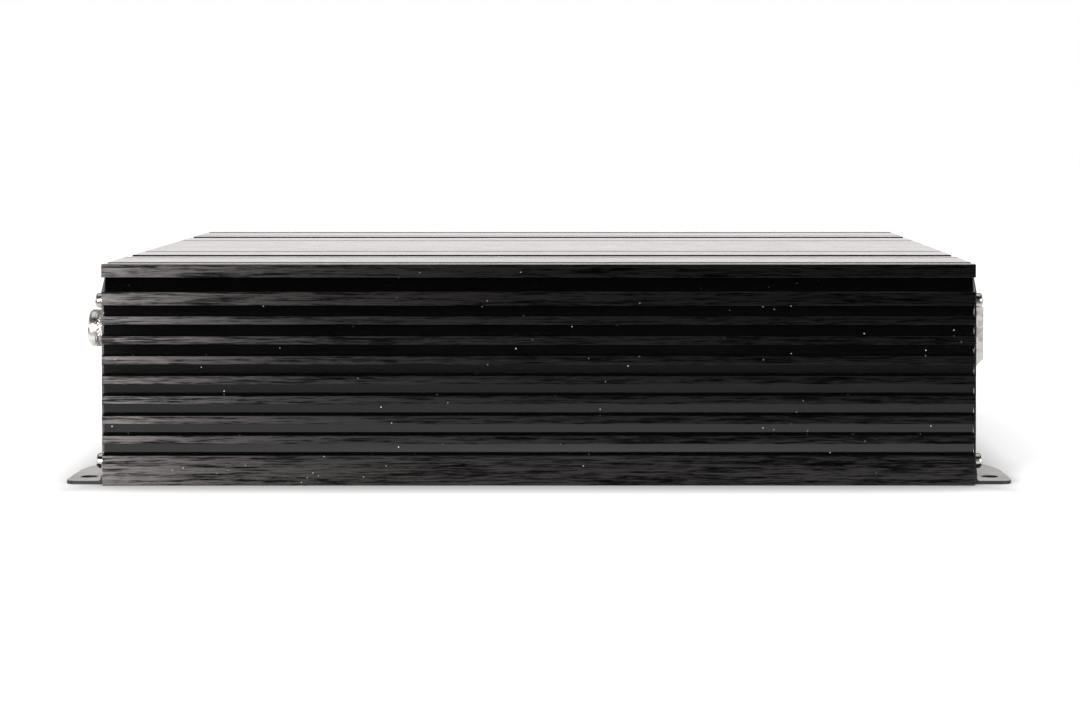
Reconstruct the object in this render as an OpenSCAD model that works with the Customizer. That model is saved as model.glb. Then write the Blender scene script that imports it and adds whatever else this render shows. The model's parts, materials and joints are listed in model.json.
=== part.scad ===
// Fanless single-channel car amplifier.
// X runs along the fins, -Y is the finned front, +Z is up.
// The origin is the centre of the footprint, on the surface that the amplifier is screwed to.
// The input side is the -X end and the power side is the +X end.

/* [Heatsink extrusion] */
// Length of the extrusion along its fins
shell_length = 250; // [250:1:300]
// Depth of the extrusion from front fins to back fins
shell_depth = 210; // [210:1:230]
// Height of the plain band along the bottom of each finned side
base_band = 8.6; // [8:0.1:9]
// Number of narrow ribs on each side
rib_count = 7; // [7:1:7]
// Distance from one narrow rib to the next
rib_pitch = 5.71; // [5.6:0.01:5.8]
// Height of a narrow rib's outer face
rib_face = 2.35; // [2:0.05:2.6]
// Depth of the recess between two ribs
rib_depth = 3.2; // [2.5:0.1:3.4]
// Rise of the sloping rib top, from its outer edge to the recess wall
rib_rise = 0.7; // [0.5:0.05:0.9]
// Height of the wide rib under the cap
wide_rib = 3.7; // [3.5:0.1:4]
// Height of the deep gap between the wide rib and the cap
cap_gap = 4.3; // [4:0.1:4.5]
// Depth of the deep gap under the cap
cap_gap_depth = 6; // [5:0.1:6]
// Height of the cap's outer face
cap_face = 3.8; // [3.6:0.1:4]

/* [End plates and feet] */
// Thickness of the folded sheet of the end plates
sheet = 1; // [0.8:0.1:1.5]
// How far the feet reach out from the end of the extrusion
foot_reach = 11.3; // [11.3:0.1:14]
// How far the plate's upright edge is set back from the fins
plate_setback = 5.5; // [4:0.1:6]
// How far the tip of a foot is set back from the fins
foot_setback = 3; // [2:0.1:4]
// Radius of the mounting hole in each foot
foot_hole_r = 2.5; // [2:0.1:2.6]
// Distance of the mounting hole out from the end of the extrusion
foot_hole_out = 6; // [5.8:0.1:6.2]
// Distance of the mounting hole back from the fins
foot_hole_back = 12; // [11:0.5:14]

/* [Control knobs] */
// Diameter of a control knob
knob_d = 11; // [10:0.5:12]
// Length of a control knob
knob_length = 5.1; // [4:0.1:6]
// Number of knurl teeth around a knob
knurl_teeth = 40; // [24:2:48]
// Height of the knobs' axes
control_z = 43.7; // [42:0.1:45]
// Distance of the front knob's axis back from the fins
knob_back = 20; // [19:0.5:22]
// Distance from one knob to the next
knob_pitch = 22; // [20:1:22]

/* [Terminals] */
// Height of the underside of the large terminals
terminal_low = 31.2; // [30:0.1:32]
// Height of a large terminal
terminal_height = 18.5; // [18:0.1:20]
// Width of a large terminal
terminal_width = 12; // [11:0.5:13]
// How far the terminals reach out from the end of the extrusion
terminal_reach = 6.5; // [6.4:0.1:8]
// Distance of the front terminal's side back from the fins
terminal_back = 28; // [26:0.5:30]
// Radius of the wire hole in a large terminal
large_wire_r = 3.6; // [3.2:0.1:3.8]
// Radius of the wire hole in a small terminal
small_wire_r = 2.6; // [2.2:0.1:2.8]

/* [Hidden] */
$fn = 48;

// Heights up the finned side
half_length = shell_length / 2;
half_depth = shell_depth / 2;
wide_rib_drop = 0.23;
wide_rib_low = base_band + (rib_count + 1) * rib_pitch - rib_face - wide_rib_drop;
wide_rib_high = wide_rib_low + wide_rib;
cap_low = wide_rib_high + cap_gap;
shell_height = cap_low + cap_face;
edge_break = 0.3;
rib_lip = 0.45;

// Inside of the shell
wall_in = half_depth - 7.2;
top_in = shell_height - 4;
corner_in = half_depth - 15;
wall_high = 44;
corner_low = 49;
cover_thickness = 1.5;
cover_edge = half_depth - 5.7;
board_low = 12.4;
board_thickness = 1.6;
board_top = board_low + board_thickness;

// End plate screws, and their places in the Y-Z plane
plate_screw_r = 1.1;
plate_screw_y = half_depth - 9.5;
plate_screw_low = 6;
plate_screw_high = 52.5;
port_corners = [for (y = [-plate_screw_y, plate_screw_y], z = [plate_screw_low, plate_screw_high]) [y, z]];
port_slot = 1.2;
fit_gap = 0.05;
free_gap = 0.3;

// Outlines of the folded end plates
plate_outer = half_length + sheet;
plate_low = 0.4;
plate_step = 5.7;
bend_r = sheet + 1;
foot_straight = 22;
foot_curve_r = 45;
foot_tip_r = 3;
foot_root = 48.7;

// Rows of controls on the input end, by name, from front to back
knob_y = [for (i = [0:3]) -half_depth + knob_back + i * knob_pitch];
pot_half = 4.8;
shaft_r = 3;
bush_r = 3.5;
switch_y = knob_y[3] + 21;
switch_travel = 3;
rca_y = [25, 45];
rca_z = [24, 38];
rca_outer_r = 4.15;
rca_inner_r = 3.35;
port_y = 66;
port_z = [30.8, 43.2];
port_half = 6.7;
led_y = [80, 87];
led_r = 1.5;
socket_in = -half_length + 8;
inner_face = -half_length + 14;

// Rows of terminals and fuses on the power end
small_width = 8;
small_height = 13;
small_low = terminal_low + terminal_height - small_height;
large_screw_r = 1.75;
small_screw_r = 1.5;
wire_share = 0.34;
wire_gap = 0.1;

// Sizes of a terminal: width, height of its underside, height, radii of the wire hole and of the screw
large_size = [terminal_width, terminal_low, terminal_height, large_wire_r, large_screw_r];
small_size = [small_width, small_low, small_height, small_wire_r, small_screw_r];
function wire_axis(size) = size[1] + size[2] * wire_share;
function terminal_top(size) = size[1] + size[2];
function pad_rest(size) = wire_axis(size) + size[3] + wire_gap;

ground_y = -half_depth + terminal_back + terminal_width / 2;
remote_y = ground_y + 17;
battery_y = remote_y + 17;
fuse_y = [battery_y + 24, battery_y + 36, battery_y + 48];
speaker_y = [battery_y + 73, battery_y + 90];
terminal_x = half_length - 13;
terminal_out = half_length + terminal_reach;
clamp_x = terminal_out - 2.6;
pad_thickness = 1;
fuse_z = 40.5;
fuse_span = 19;
fuse_thickness = 5;
slot_half = fuse_thickness / 2 + free_gap;
blade_z = [-7, 7];
fuse_out = half_length + 8;
fuse_in = half_length - 4;

// Power stage along the two long walls
transistor_pitch = 16;
transistor_row = [for (i = [-4:4]) i * transistor_pitch];
transistor_size = [10, 4.5, 15];
transistor_low = 22;
clamp_z = transistor_low + 8;
leg_pitch = 2.54;
tab_thickness = 1.3;
tab_height = 6;
pad_sheet = 0.3;
bar_size = [150, 3, 8];
transistor_front = wall_in - pad_sheet - transistor_size[1];
bar_screw_x = [for (i = [-4:2:4]) (i + 0.5) * transistor_pitch];
cover_screw_x = [for (i = [-1.5:1:1.5]) i * 76];
cover_screw_y = half_depth - 13;
board_screw_x = [-100, 0, 100];
thread_r = 1.25;

// Ring chokes: centre, radii, height of the ring, gap under it and thickness of the wire layer
transformer = [[72, -22], 27, 16, 22, 3.5, 3];
choke = [[78, 47], 17, 9, 14, 2.5, 2.2];

// Capacitors: radius, height and places
bulk_can = [11, 38];
bulk_places = [for (x = [-22, 4], y = [-48, -22, 22, 48]) [x, y]];
input_can = [7, 30];
input_places = [for (y = [-70, -46, 20]) [30, y]];

// Half outline of the ribbed side, from the floor to the cap's lower edge
function rib_top(k) = base_band + k * rib_pitch;
function rib_under(k) = k < rib_count ? rib_top(k + 1) - rib_face : wide_rib_low;
function recess(k) = [
    [half_depth, rib_top(k)],
    [half_depth - rib_depth + rib_lip, rib_top(k) + rib_rise * 0.75],
    [half_depth - rib_depth + rib_lip, rib_top(k) + rib_rise],
    [half_depth - rib_depth, rib_top(k) + rib_rise],
    [half_depth - rib_depth, rib_under(k)],
    [half_depth, rib_under(k)]
];
side_outline = concat(
    [[half_depth - edge_break, 0], [half_depth, edge_break]],
    [for (k = [0:rib_count]) each recess(k)],
    [
        [half_depth, wide_rib_high],
        [half_depth - cap_gap_depth, cap_low],
        [half_depth, cap_low],
        [half_depth, shell_height - edge_break]
    ]
);

// Shallow steps across the top: distance in from the side, and depth below the top
top_steps = [
    [edge_break, 0], [4.5, 0], [4.9, 0.4], [9.6, 0.4], [10, 0], [33, 0], [33.6, 0.35], [34.4, 0.35],
    [35, 0], [41, 0], [41.1, 0.5], [49.9, 0.5], [50, 0], [67, 0], [70, 0.25], [73, 0]
];
half_outline = concat(side_outline, [for (s = top_steps) [half_depth - s[0], shell_height - s[1]]]);

// Inside outline from the floor up: cover seat, corner block, wall, upper block
half_cavity = [
    [cover_edge, -1],
    [cover_edge, cover_thickness],
    [corner_in, cover_thickness],
    [corner_in, board_low],
    [wall_in, board_low],
    [wall_in, wall_high],
    [corner_in, corner_low],
    [corner_in, top_in - 1],
    [corner_in - 1, top_in]
];

// Both halves of an outline given for +Y, as one closed loop
function both_halves(points) = concat(
    points,
    [for (i = [len(points) - 1:-1:0]) [-points[i][0], points[i][1]]]
);

// Upright half outline of an end plate
plate_outline = [
    [half_depth - foot_setback, bend_r],
    [half_depth - foot_setback, bend_r + 1],
    [half_depth - plate_setback, bend_r + 5],
    [half_depth - plate_setback, wide_rib_high],
    [half_depth - plate_setback - plate_step, cap_low],
    [half_depth - plate_setback - plate_step, cap_low + 2]
];

// Lays a Y-Z outline along X
module along_x(x_low, x_high) {
    translate([x_low, 0, 0])
        rotate([90, 0, 90])
            linear_extrude(x_high - x_low)
                children();
}

// Round bar along X
module rod_x(x_low, x_high, r, y, z) {
    translate([x_low, y, z])
        rotate([0, 90, 0])
            cylinder(r = r, h = x_high - x_low);
}

// Round bar along Z
module rod_z(z_low, z_high, r, x, y) {
    translate([x, y, z_low])
        cylinder(r = r, h = z_high - z_low);
}

// Box given by its two corners
module block(low, high) {
    translate(low)
        cube(high - low);
}

// Front and back copies
module at_both_sides() {
    for (sy = [0, 1])
        mirror([0, sy, 0])
            children();
}

// Round-edged screw with a cross recess; the head's underside is at z = 0 and it points up
module pan_screw(head_r, head_h, shank_r, shank) {
    round_r = head_h * 0.45;
    difference() {
        union() {
            rotate_extrude() {
                square([head_r - round_r, head_h]);
                square([head_r, head_h - round_r]);
                intersection() {
                    translate([head_r - round_r, head_h - round_r])
                        circle(r = round_r);
                    square([head_r, head_h]);
                }
            }
            translate([0, 0, -shank])
                cylinder(r = shank_r, h = shank + 0.1);
        }
        for (turn = [0, 90])
            rotate([0, 0, turn])
                translate([-head_r * 0.6, -head_r * 0.13, head_h * 0.45])
                    cube([head_r * 1.2, head_r * 0.26, head_h]);
    }
}

// One-piece finned top and sides with screw ports in its four corners
module heatsink_shell() {
    color("dimgray")
        difference() {
            along_x(-half_length, half_length)
                difference() {
                    polygon(both_halves(half_outline));
                    polygon(both_halves(half_cavity));
                    for (p = port_corners)
                        translate(p)
                            circle(r = plate_screw_r + fit_gap);
                    for (side = [-1, 1]) {
                        translate([side * plate_screw_y - port_slot / 2, plate_screw_low])
                            square([port_slot, board_low - plate_screw_low + 1]);
                        translate([side * (plate_screw_y + corner_in - 1) / 2, plate_screw_high])
                            square([plate_screw_y - corner_in + 1, port_slot], center = true);
                    }
                }
            at_both_sides() {
                for (x = cover_screw_x)
                    rod_z(1, 8, thread_r, x, cover_screw_y);
                for (x = board_screw_x)
                    rod_z(board_low - 3.2, board_low + 1, thread_r, x, cover_screw_y);
                for (x = bar_screw_x)
                    translate([x, wall_in - 1, clamp_z])
                        rotate([-90, 0, 0])
                            cylinder(r = thread_r + fit_gap, h = 3.6);
            }
        }
}

// Flat sheet let into the underside
module bottom_cover() {
    color("dimgray")
        difference() {
            block(
                [-half_length + free_gap, -cover_edge + free_gap, 0],
                [half_length - free_gap, cover_edge - free_gap, cover_thickness]
            );
            at_both_sides()
                for (x = cover_screw_x)
                    translate([x, cover_screw_y, 0]) {
                        cylinder(r = 1.7, h = 2 * cover_thickness, center = true);
                        translate([0, 0, -0.01])
                            cylinder(r1 = 2.75, r2 = 1.45, h = 1.3);
                    }
        }
}

// Eight countersunk screws, flush with the underside
module bottom_cover_screws() {
    color("silver")
        at_both_sides()
            for (x = cover_screw_x)
                translate([x, cover_screw_y, 0.15])
                    difference() {
                        union() {
                            cylinder(r1 = 2.5, r2 = 1.2, h = 1.3);
                            cylinder(r = 1.2, h = 7);
                        }
                        for (turn = [0, 90])
                            rotate([0, 0, turn])
                                translate([-1.4, -0.3, -1])
                                    cube([2.8, 0.6, 1.8]);
                    }
}

// Plan of one foot: x out from the end of the extrusion, y back from the fins
module foot_plan() {
    difference() {
        union() {
            translate([bend_r - 0.1, foot_setback])
                square([foot_reach - foot_tip_r - bend_r + 0.1, foot_straight - foot_setback]);
            translate([bend_r - 0.1, foot_setback + foot_tip_r])
                square([foot_reach - bend_r + 0.1, foot_straight - foot_setback - foot_tip_r]);
            translate([foot_reach - foot_tip_r, foot_setback + foot_tip_r])
                circle(r = foot_tip_r);
            intersection() {
                translate([foot_reach - foot_curve_r, foot_straight])
                    circle(r = foot_curve_r, $fn = 96);
                translate([bend_r - 0.1, foot_straight - 0.1])
                    square([foot_reach, foot_root - foot_straight]);
            }
        }
        translate([foot_hole_out, foot_hole_back])
            circle(r = foot_hole_r);
    }
}

// One foot at the front of the power end, with the fold that joins it to the upright sheet
module foot() {
    translate([half_length, -half_depth, 0])
        linear_extrude(sheet)
            foot_plan();
    translate([half_length, -half_depth + foot_root - 0.1, 0])
        rotate([90, 0, 0])
            linear_extrude(foot_root - foot_setback - 0.1)
                intersection() {
                    difference() {
                        translate([bend_r, bend_r])
                            circle(r = bend_r);
                        translate([bend_r, bend_r])
                            circle(r = bend_r - sheet);
                    }
                    square([bend_r, bend_r]);
                }
}

// Folded end plate on the +X end; children are its cut-outs
module end_plate() {
    difference() {
        union() {
            along_x(half_length, plate_outer) {
                polygon(both_halves(plate_outline));
                translate([-half_depth + foot_root, plate_low])
                    square([2 * (half_depth - foot_root), bend_r]);
            }
            at_both_sides()
                foot();
        }
        for (p = port_corners)
            plate_hole(plate_screw_r + free_gap, p[0], p[1]);
        children();
    }
}

// Round hole through an end plate
module plate_hole(r, y, z) {
    rod_x(half_length - 1, plate_outer + 1, r, y, z);
}

// Rectangular window through an end plate, given by its lowest and highest corner in Y and Z
module plate_window(low, high) {
    block([half_length - 1, low[0], low[1]], [plate_outer + 1, high[0], high[1]]);
}

// Input end: holes for the controls, the sockets and the lamps
module input_end_plate() {
    color("black")
        mirror([1, 0, 0])
            end_plate() {
                for (y = knob_y)
                    plate_hole(bush_r + free_gap, y, control_z);
                for (y = rca_y, z = rca_z)
                    plate_hole(5 + free_gap, y, z);
                for (y = led_y)
                    plate_hole(led_r + free_gap, y, control_z);
                plate_window([switch_y - 4, control_z - 1.8], [switch_y + 4, control_z + 1.8]);
                plate_window(
                    [port_y - port_half - free_gap, port_z[0] - free_gap],
                    [port_y + port_half + free_gap, port_z[1] + free_gap]
                );
            }
}

// Power end: one window round the terminals and one round the fuses and speaker terminals
module power_end_plate() {
    color("black")
        end_plate() {
            plate_window(
                [ground_y - 8, terminal_low - 2],
                [battery_y + 8, terminal_low + terminal_height + 2]
            );
            plate_window([fuse_y[0] - 5, fuse_z - 11.5], [fuse_y[2] + 5, fuse_z + 11.5]);
            plate_window(
                [speaker_y[0] - 6.5, small_low - 2],
                [speaker_y[1] + 6.5, small_low + small_height + 2]
            );
        }
}

// Eight screws that hold the end plates to the extrusion
module end_plate_screws() {
    color("silver")
        for (side = [0, 1])
            mirror([side, 0, 0])
                for (p = port_corners)
                    translate([plate_outer, p[0], p[1]])
                        rotate([0, 90, 0])
                            pan_screw(2.2, 2.3, plate_screw_r, 12);
}

module main_board() {
    color("darkgreen")
        difference() {
            block(
                [-half_length + 4, -wall_in + 1.5, board_low],
                [half_length - 4, wall_in - 1.5, board_top]
            );
            at_both_sides()
                for (x = board_screw_x)
                    rod_z(board_low - 1, board_top + 1, 1.6, x, cover_screw_y);
        }
}

module main_board_screws() {
    color("silver")
        at_both_sides()
            for (x = board_screw_x)
                translate([x, cover_screw_y, board_top])
                    pan_screw(2.2, 1.8, 1.2, 4);
}

// Upright board that carries the controls and sockets
module preamp_board() {
    color("darkgreen")
        block([inner_face, -corner_in + 0.5, board_top], [inner_face + board_thickness, 74, 56]);
}

module board_link() {
    color("black")
        block([inner_face + board_thickness, -40, board_top], [inner_face + 7, 20, board_top + 8]);
}

// Cross-section of a ring choke grown by a margin, turned round its centre
module ring(choke_size, margin) {
    translate([0, 0, board_top + choke_size[4]])
        translate(choke_size[0])
            rotate_extrude()
                translate([choke_size[2] - margin, -margin])
                    square([choke_size[1] - choke_size[2] + 2 * margin, choke_size[3] + 2 * margin]);
}

// Layer of wire that wraps a ring all round
module ring_winding(choke_size) {
    difference() {
        ring(choke_size, choke_size[5]);
        ring(choke_size, fit_gap);
    }
}

module transformer_core() {
    color("darkslategray")
        ring(transformer, 0);
}

module transformer_winding() {
    color("peru")
        ring_winding(transformer);
}

module output_choke_core() {
    color("darkkhaki")
        ring(choke, 0);
}

module output_choke_winding() {
    color("peru")
        ring_winding(choke);
}

// Upright can with a rounded top edge
module can(r, height, round_r = 1) {
    rotate_extrude() {
        square([r - round_r, height]);
        square([r, height - round_r]);
        intersection() {
            translate([r - round_r, height - round_r])
                circle(r = round_r);
            square([r, height]);
        }
    }
}

// Eight large electrolytic capacitors on the supply rails
module bulk_capacitors() {
    color("midnightblue")
        for (place = bulk_places)
            translate([place[0], place[1], board_top])
                can(bulk_can[0], bulk_can[1]);
}

// Three smaller electrolytic capacitors on the battery side
module input_capacitors() {
    color("midnightblue")
        for (place = input_places)
            translate([place[0], place[1], board_top])
                can(input_can[0], input_can[1]);
}

// One power transistor: moulded body, metal tab above and three legs down to the board
module transistor(x) {
    translate([x - transistor_size[0] / 2, transistor_front, transistor_low]) {
        cube(transistor_size);
        translate([0, transistor_size[1] - tab_thickness, transistor_size[2] - 0.1])
            cube([transistor_size[0], tab_thickness, tab_height]);
        for (leg = [-1:1])
            translate([transistor_size[0] / 2 + leg * leg_pitch - 0.4, 1.2, board_top - transistor_low])
                cube([0.8, 0.6, transistor_low - board_top + 0.1]);
    }
}

module supply_transistors() {
    color("black")
        mirror([0, 1, 0])
            for (x = transistor_row)
                transistor(x);
}

module output_transistors() {
    color("black")
        for (x = transistor_row)
            transistor(x);
}

// Thin heat pads between the transistors and the extrusion
module insulator_pads() {
    color("pink")
        at_both_sides()
            difference() {
                block(
                    [-bar_size[0] / 2, wall_in - pad_sheet, transistor_low - 2],
                    [bar_size[0] / 2, wall_in, transistor_low + 19]
                );
                for (x = bar_screw_x)
                    translate([x, wall_in + 1, clamp_z])
                        rotate([90, 0, 0])
                            cylinder(r = thread_r + free_gap, h = 3);
            }
}

// Bars that press the transistors against the walls
module clamp_bars() {
    color("silver")
        at_both_sides()
            difference() {
                block(
                    [-bar_size[0] / 2, transistor_front - bar_size[1], clamp_z - bar_size[2] / 2],
                    [bar_size[0] / 2, transistor_front, clamp_z + bar_size[2] / 2]
                );
                for (x = bar_screw_x)
                    translate([x, transistor_front + 1, clamp_z])
                        rotate([90, 0, 0])
                            cylinder(r = thread_r + free_gap, h = bar_size[1] + 2);
            }
}

module clamp_bar_screws() {
    color("silver")
        at_both_sides()
            for (x = bar_screw_x)
                translate([x, transistor_front - bar_size[1], clamp_z])
                    rotate([90, 0, 0])
                        pan_screw(2.7, 2, thread_r, 10);
}

// Four potentiometers soldered to the upright board, each with a threaded bush
module pot_bodies() {
    color("silver")
        for (y = knob_y)
            difference() {
                union() {
                    block(
                        [-half_length + 4.5, y - pot_half, control_z - pot_half],
                        [inner_face, y + pot_half, control_z + pot_half]
                    );
                    rod_x(-plate_outer - 0.5, -half_length + 5, bush_r, y, control_z);
                }
                rod_x(-plate_outer - 1, -half_length + 12, shaft_r + fit_gap, y, control_z);
            }
}

// Turning shaft of a potentiometer
module shaft(y) {
    color("gainsboro")
        rod_x(-plate_outer - knob_length + 0.5, -half_length + 11, shaft_r, y, control_z);
}

// Toothed outline of a knurled grip
module knurl(r, teeth, tooth) {
    polygon([for (i = [0:2 * teeth - 1])
        let (a = i * 180 / teeth, rr = i % 2 == 0 ? r : r - tooth) [rr * cos(a), rr * sin(a)]]);
}

// Metal knob with a knurled skirt next to the panel, a smooth rounded nose and a pointer notch
module knob(y) {
    knob_r = knob_d / 2;
    skirt = knob_length * 0.42;
    nose_r = 1.3;
    color("silver")
        translate([-plate_outer - 0.9, y, control_z])
            rotate([0, -90, 0])
                difference() {
                    union() {
                        linear_extrude(skirt)
                            knurl(knob_r - 0.1, knurl_teeth, 0.4);
                        translate([0, 0, skirt])
                            rotate_extrude($fn = 64) {
                                square([knob_r - nose_r, knob_length - skirt]);
                                square([knob_r, knob_length - skirt - nose_r]);
                                intersection() {
                                    translate([knob_r - nose_r, knob_length - skirt - nose_r])
                                        circle(r = nose_r);
                                    square([knob_r, knob_length - skirt]);
                                }
                            }
                    }
                    translate([0, 0, -1])
                        cylinder(r = shaft_r + fit_gap / 2, h = knob_length - 0.35);
                    translate([-0.4, 2.2, knob_length - 0.5])
                        cube([0.8, knob_r, 1]);
                }
}

module gain_shaft() {
    shaft(knob_y[0]);
}

module lowpass_shaft() {
    shaft(knob_y[1]);
}

module subsonic_shaft() {
    shaft(knob_y[2]);
}

module bass_boost_shaft() {
    shaft(knob_y[3]);
}

module gain_knob() {
    knob(knob_y[0]);
}

module lowpass_knob() {
    knob(knob_y[1]);
}

module subsonic_knob() {
    knob(knob_y[2]);
}

module bass_boost_knob() {
    knob(knob_y[3]);
}

// Slide switch: a can with a slot that guides the slider
module phase_switch_body() {
    color("silver")
        difference() {
            block([-half_length + 1, switch_y - 7, control_z - 4], [inner_face, switch_y + 7, control_z + 4]);
            block([-half_length, switch_y - 5, control_z - 2], [socket_in, switch_y + 5, control_z + 2]);
        }
}

module phase_switch_slider() {
    low_y = switch_y - switch_travel / 2;
    color("black") {
        block([-half_length + 1.5, low_y - 3, control_z - 1.7], [socket_in - 1, low_y + 3, control_z + 1.7]);
        block(
            [-plate_outer - 2.4, low_y - 1.5, control_z - 1.4],
            [-half_length + 2, low_y + 1.5, control_z + 1.4]
        );
    }
}

// Two stacked pairs of phono sockets: plastic bodies with a round boss for each socket
module rca_bodies() {
    color("black")
        for (y = rca_y)
            difference() {
                union() {
                    block([-half_length + free_gap, y - 7, board_top], [inner_face, y + 7, rca_z[1] + 7.5]);
                    for (z = rca_z)
                        rod_x(-plate_outer - 0.7, -half_length + 1, 5, y, z);
                }
                for (z = rca_z)
                    rod_x(-plate_outer - 2, socket_in, rca_outer_r + fit_gap, y, z);
            }
}

// Plated outer contacts
module rca_sleeves() {
    color("silver")
        for (y = rca_y, z = rca_z)
            difference() {
                rod_x(-half_length - 9.3, socket_in, rca_outer_r, y, z);
                rod_x(-half_length - 10, socket_in + 1, rca_inner_r, y, z);
            }
}

module rca_insulators() {
    color("white")
        for (y = rca_y, z = rca_z)
            difference() {
                rod_x(-half_length - 8.5, socket_in, rca_inner_r - fit_gap, y, z);
                rod_x(-half_length - 10, socket_in + 1, 1.9, y, z);
            }
}

module rca_contacts() {
    color("silver")
        for (y = rca_y, z = rca_z)
            difference() {
                rod_x(-half_length - 8, socket_in, 1.85, y, z);
                rod_x(-half_length - 9, -half_length + 2, 1.6, y, z);
            }
}

// Socket for a wired level control
module remote_port() {
    color("black")
        difference() {
            block(
                [-plate_outer - 0.8, port_y - port_half, port_z[0]],
                [inner_face, port_y + port_half, port_z[1]]
            );
            block([-plate_outer - 2, port_y - 4.9, 33], [socket_in + 1, port_y + 4.9, 40]);
            block([-plate_outer - 2, port_y - 1.7, 39], [socket_in + 1, port_y + 1.7, 42]);
        }
}

// Lamp with a domed lens
module led_lens(y) {
    rod_x(-plate_outer - 0.6, -half_length + 5, led_r, y, control_z);
    translate([-plate_outer - 0.6, y, control_z])
        sphere(r = led_r);
}

module power_led() {
    color("royalblue")
        led_lens(led_y[0]);
}

module protect_led() {
    color("firebrick")
        led_lens(led_y[1]);
}

// Moulded carrier behind the windows of the power end plate; the terminals pass through it
module terminal_carrier() {
    color("black")
        difference() {
            union() {
                carrier_part(
                    [ground_y - 7.7, terminal_low - 1.7],
                    [battery_y + 7.7, terminal_low + terminal_height + 1.7]
                );
                carrier_part(
                    [speaker_y[0] - 6.2, small_low - 1.7],
                    [speaker_y[1] + 6.2, small_low + small_height + 1.7]
                );
            }
            for (y = [ground_y, battery_y])
                terminal_pocket(y, large_size);
            for (y = [remote_y, speaker_y[0], speaker_y[1]])
                terminal_pocket(y, small_size);
        }
}

// Room for one terminal in the carrier
module terminal_pocket(y, size) {
    half_width = size[0] / 2 + fit_gap;
    block(
        [terminal_x - 5, y - half_width, size[1] - fit_gap],
        [plate_outer + 1, y + half_width, terminal_top(size) + fit_gap]
    );
}

// Front block of the carrier with a flange inside the end plate, given by its corners in Y and Z
module carrier_part(low, high) {
    block([half_length - 9, low[0], low[1]], [plate_outer + 0.4, high[0], high[1]]);
    block([half_length - 3, low[0] - 2.5, low[1] - 2], [half_length, high[0] + 2.5, high[1] + 2]);
}

// Plated terminal block: bevelled nose, wire hole along X and a clamp screw hole from above
module terminal(y, size) {
    width = size[0];
    low = size[1];
    high = terminal_top(size);
    bevel = size[2] * 0.14;
    difference() {
        translate([0, y + width / 2, 0])
            rotate([90, 0, 0])
                linear_extrude(width)
                    polygon([
                        [terminal_x, low],
                        [terminal_out - bevel, low],
                        [terminal_out, low + bevel],
                        [terminal_out, high - 0.6],
                        [terminal_out - 0.6, high],
                        [terminal_x, high]
                    ]);
        rod_x(terminal_x + 2, terminal_out + 1, size[3], y, wire_axis(size));
        rod_z(wire_axis(size), high + 1, size[4] + fit_gap, clamp_x, y);
        translate([clamp_x - 1.2, y, low + size[2] * 0.62])
            rotate([90, 0, 0])
                cylinder(r = 0.6, h = width + 2, center = true);
    }
}

module ground_terminal() {
    color("silver")
        terminal(ground_y, large_size);
}

module battery_terminal() {
    color("silver")
        terminal(battery_y, large_size);
}

module remote_terminal() {
    color("silver")
        terminal(remote_y, small_size);
}

module speaker_terminals() {
    color("silver")
        for (y = speaker_y)
            terminal(y, small_size);
}

// Hexagon-socket grub screw above its pad
module clamp_screw(y, size) {
    tip = pad_rest(size) + pad_thickness + fit_gap;
    color("silver")
        difference() {
            rod_z(tip, terminal_top(size) - free_gap, size[4], clamp_x, y);
            translate([clamp_x, y, terminal_top(size) - 2.2])
                cylinder(r = size[4] * 0.6, h = 3, $fn = 6);
        }
}

// Loose pad that the grub screw presses on the wire
module clamp_pad(y, size) {
    color("silver")
        rod_z(pad_rest(size), pad_rest(size) + pad_thickness, size[4] - fit_gap, clamp_x, y);
}

module ground_screw() {
    clamp_screw(ground_y, large_size);
}

module battery_screw() {
    clamp_screw(battery_y, large_size);
}

module remote_screw() {
    clamp_screw(remote_y, small_size);
}

module speaker_minus_screw() {
    clamp_screw(speaker_y[0], small_size);
}

module speaker_plus_screw() {
    clamp_screw(speaker_y[1], small_size);
}

module ground_pad() {
    clamp_pad(ground_y, large_size);
}

module battery_pad() {
    clamp_pad(battery_y, large_size);
}

module remote_pad() {
    clamp_pad(remote_y, small_size);
}

module speaker_minus_pad() {
    clamp_pad(speaker_y[0], small_size);
}

module speaker_plus_pad() {
    clamp_pad(speaker_y[1], small_size);
}

// Moulded socket that takes three blade fuses side by side
module fuse_sockets() {
    color("black")
        difference() {
            union() {
                block(
                    [half_length - 16, fuse_y[0] - 4.7, fuse_z - 11.2],
                    [plate_outer + 0.4, fuse_y[2] + 4.7, fuse_z + 11.2]
                );
                block(
                    [half_length - 3, fuse_y[0] - 7, fuse_z - 13],
                    [half_length, fuse_y[2] + 7, fuse_z + 13]
                );
            }
            for (y = fuse_y) {
                block(
                    [fuse_in - free_gap, y - slot_half, fuse_z - fuse_span / 2 - free_gap],
                    [plate_outer + 2, y + slot_half, fuse_z + fuse_span / 2 + free_gap]
                );
                for (z = blade_z)
                    block([fuse_in - 10, y - 0.7, fuse_z + z - 3], [fuse_in, y + 0.7, fuse_z + z + 3]);
            }
        }
}

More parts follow.
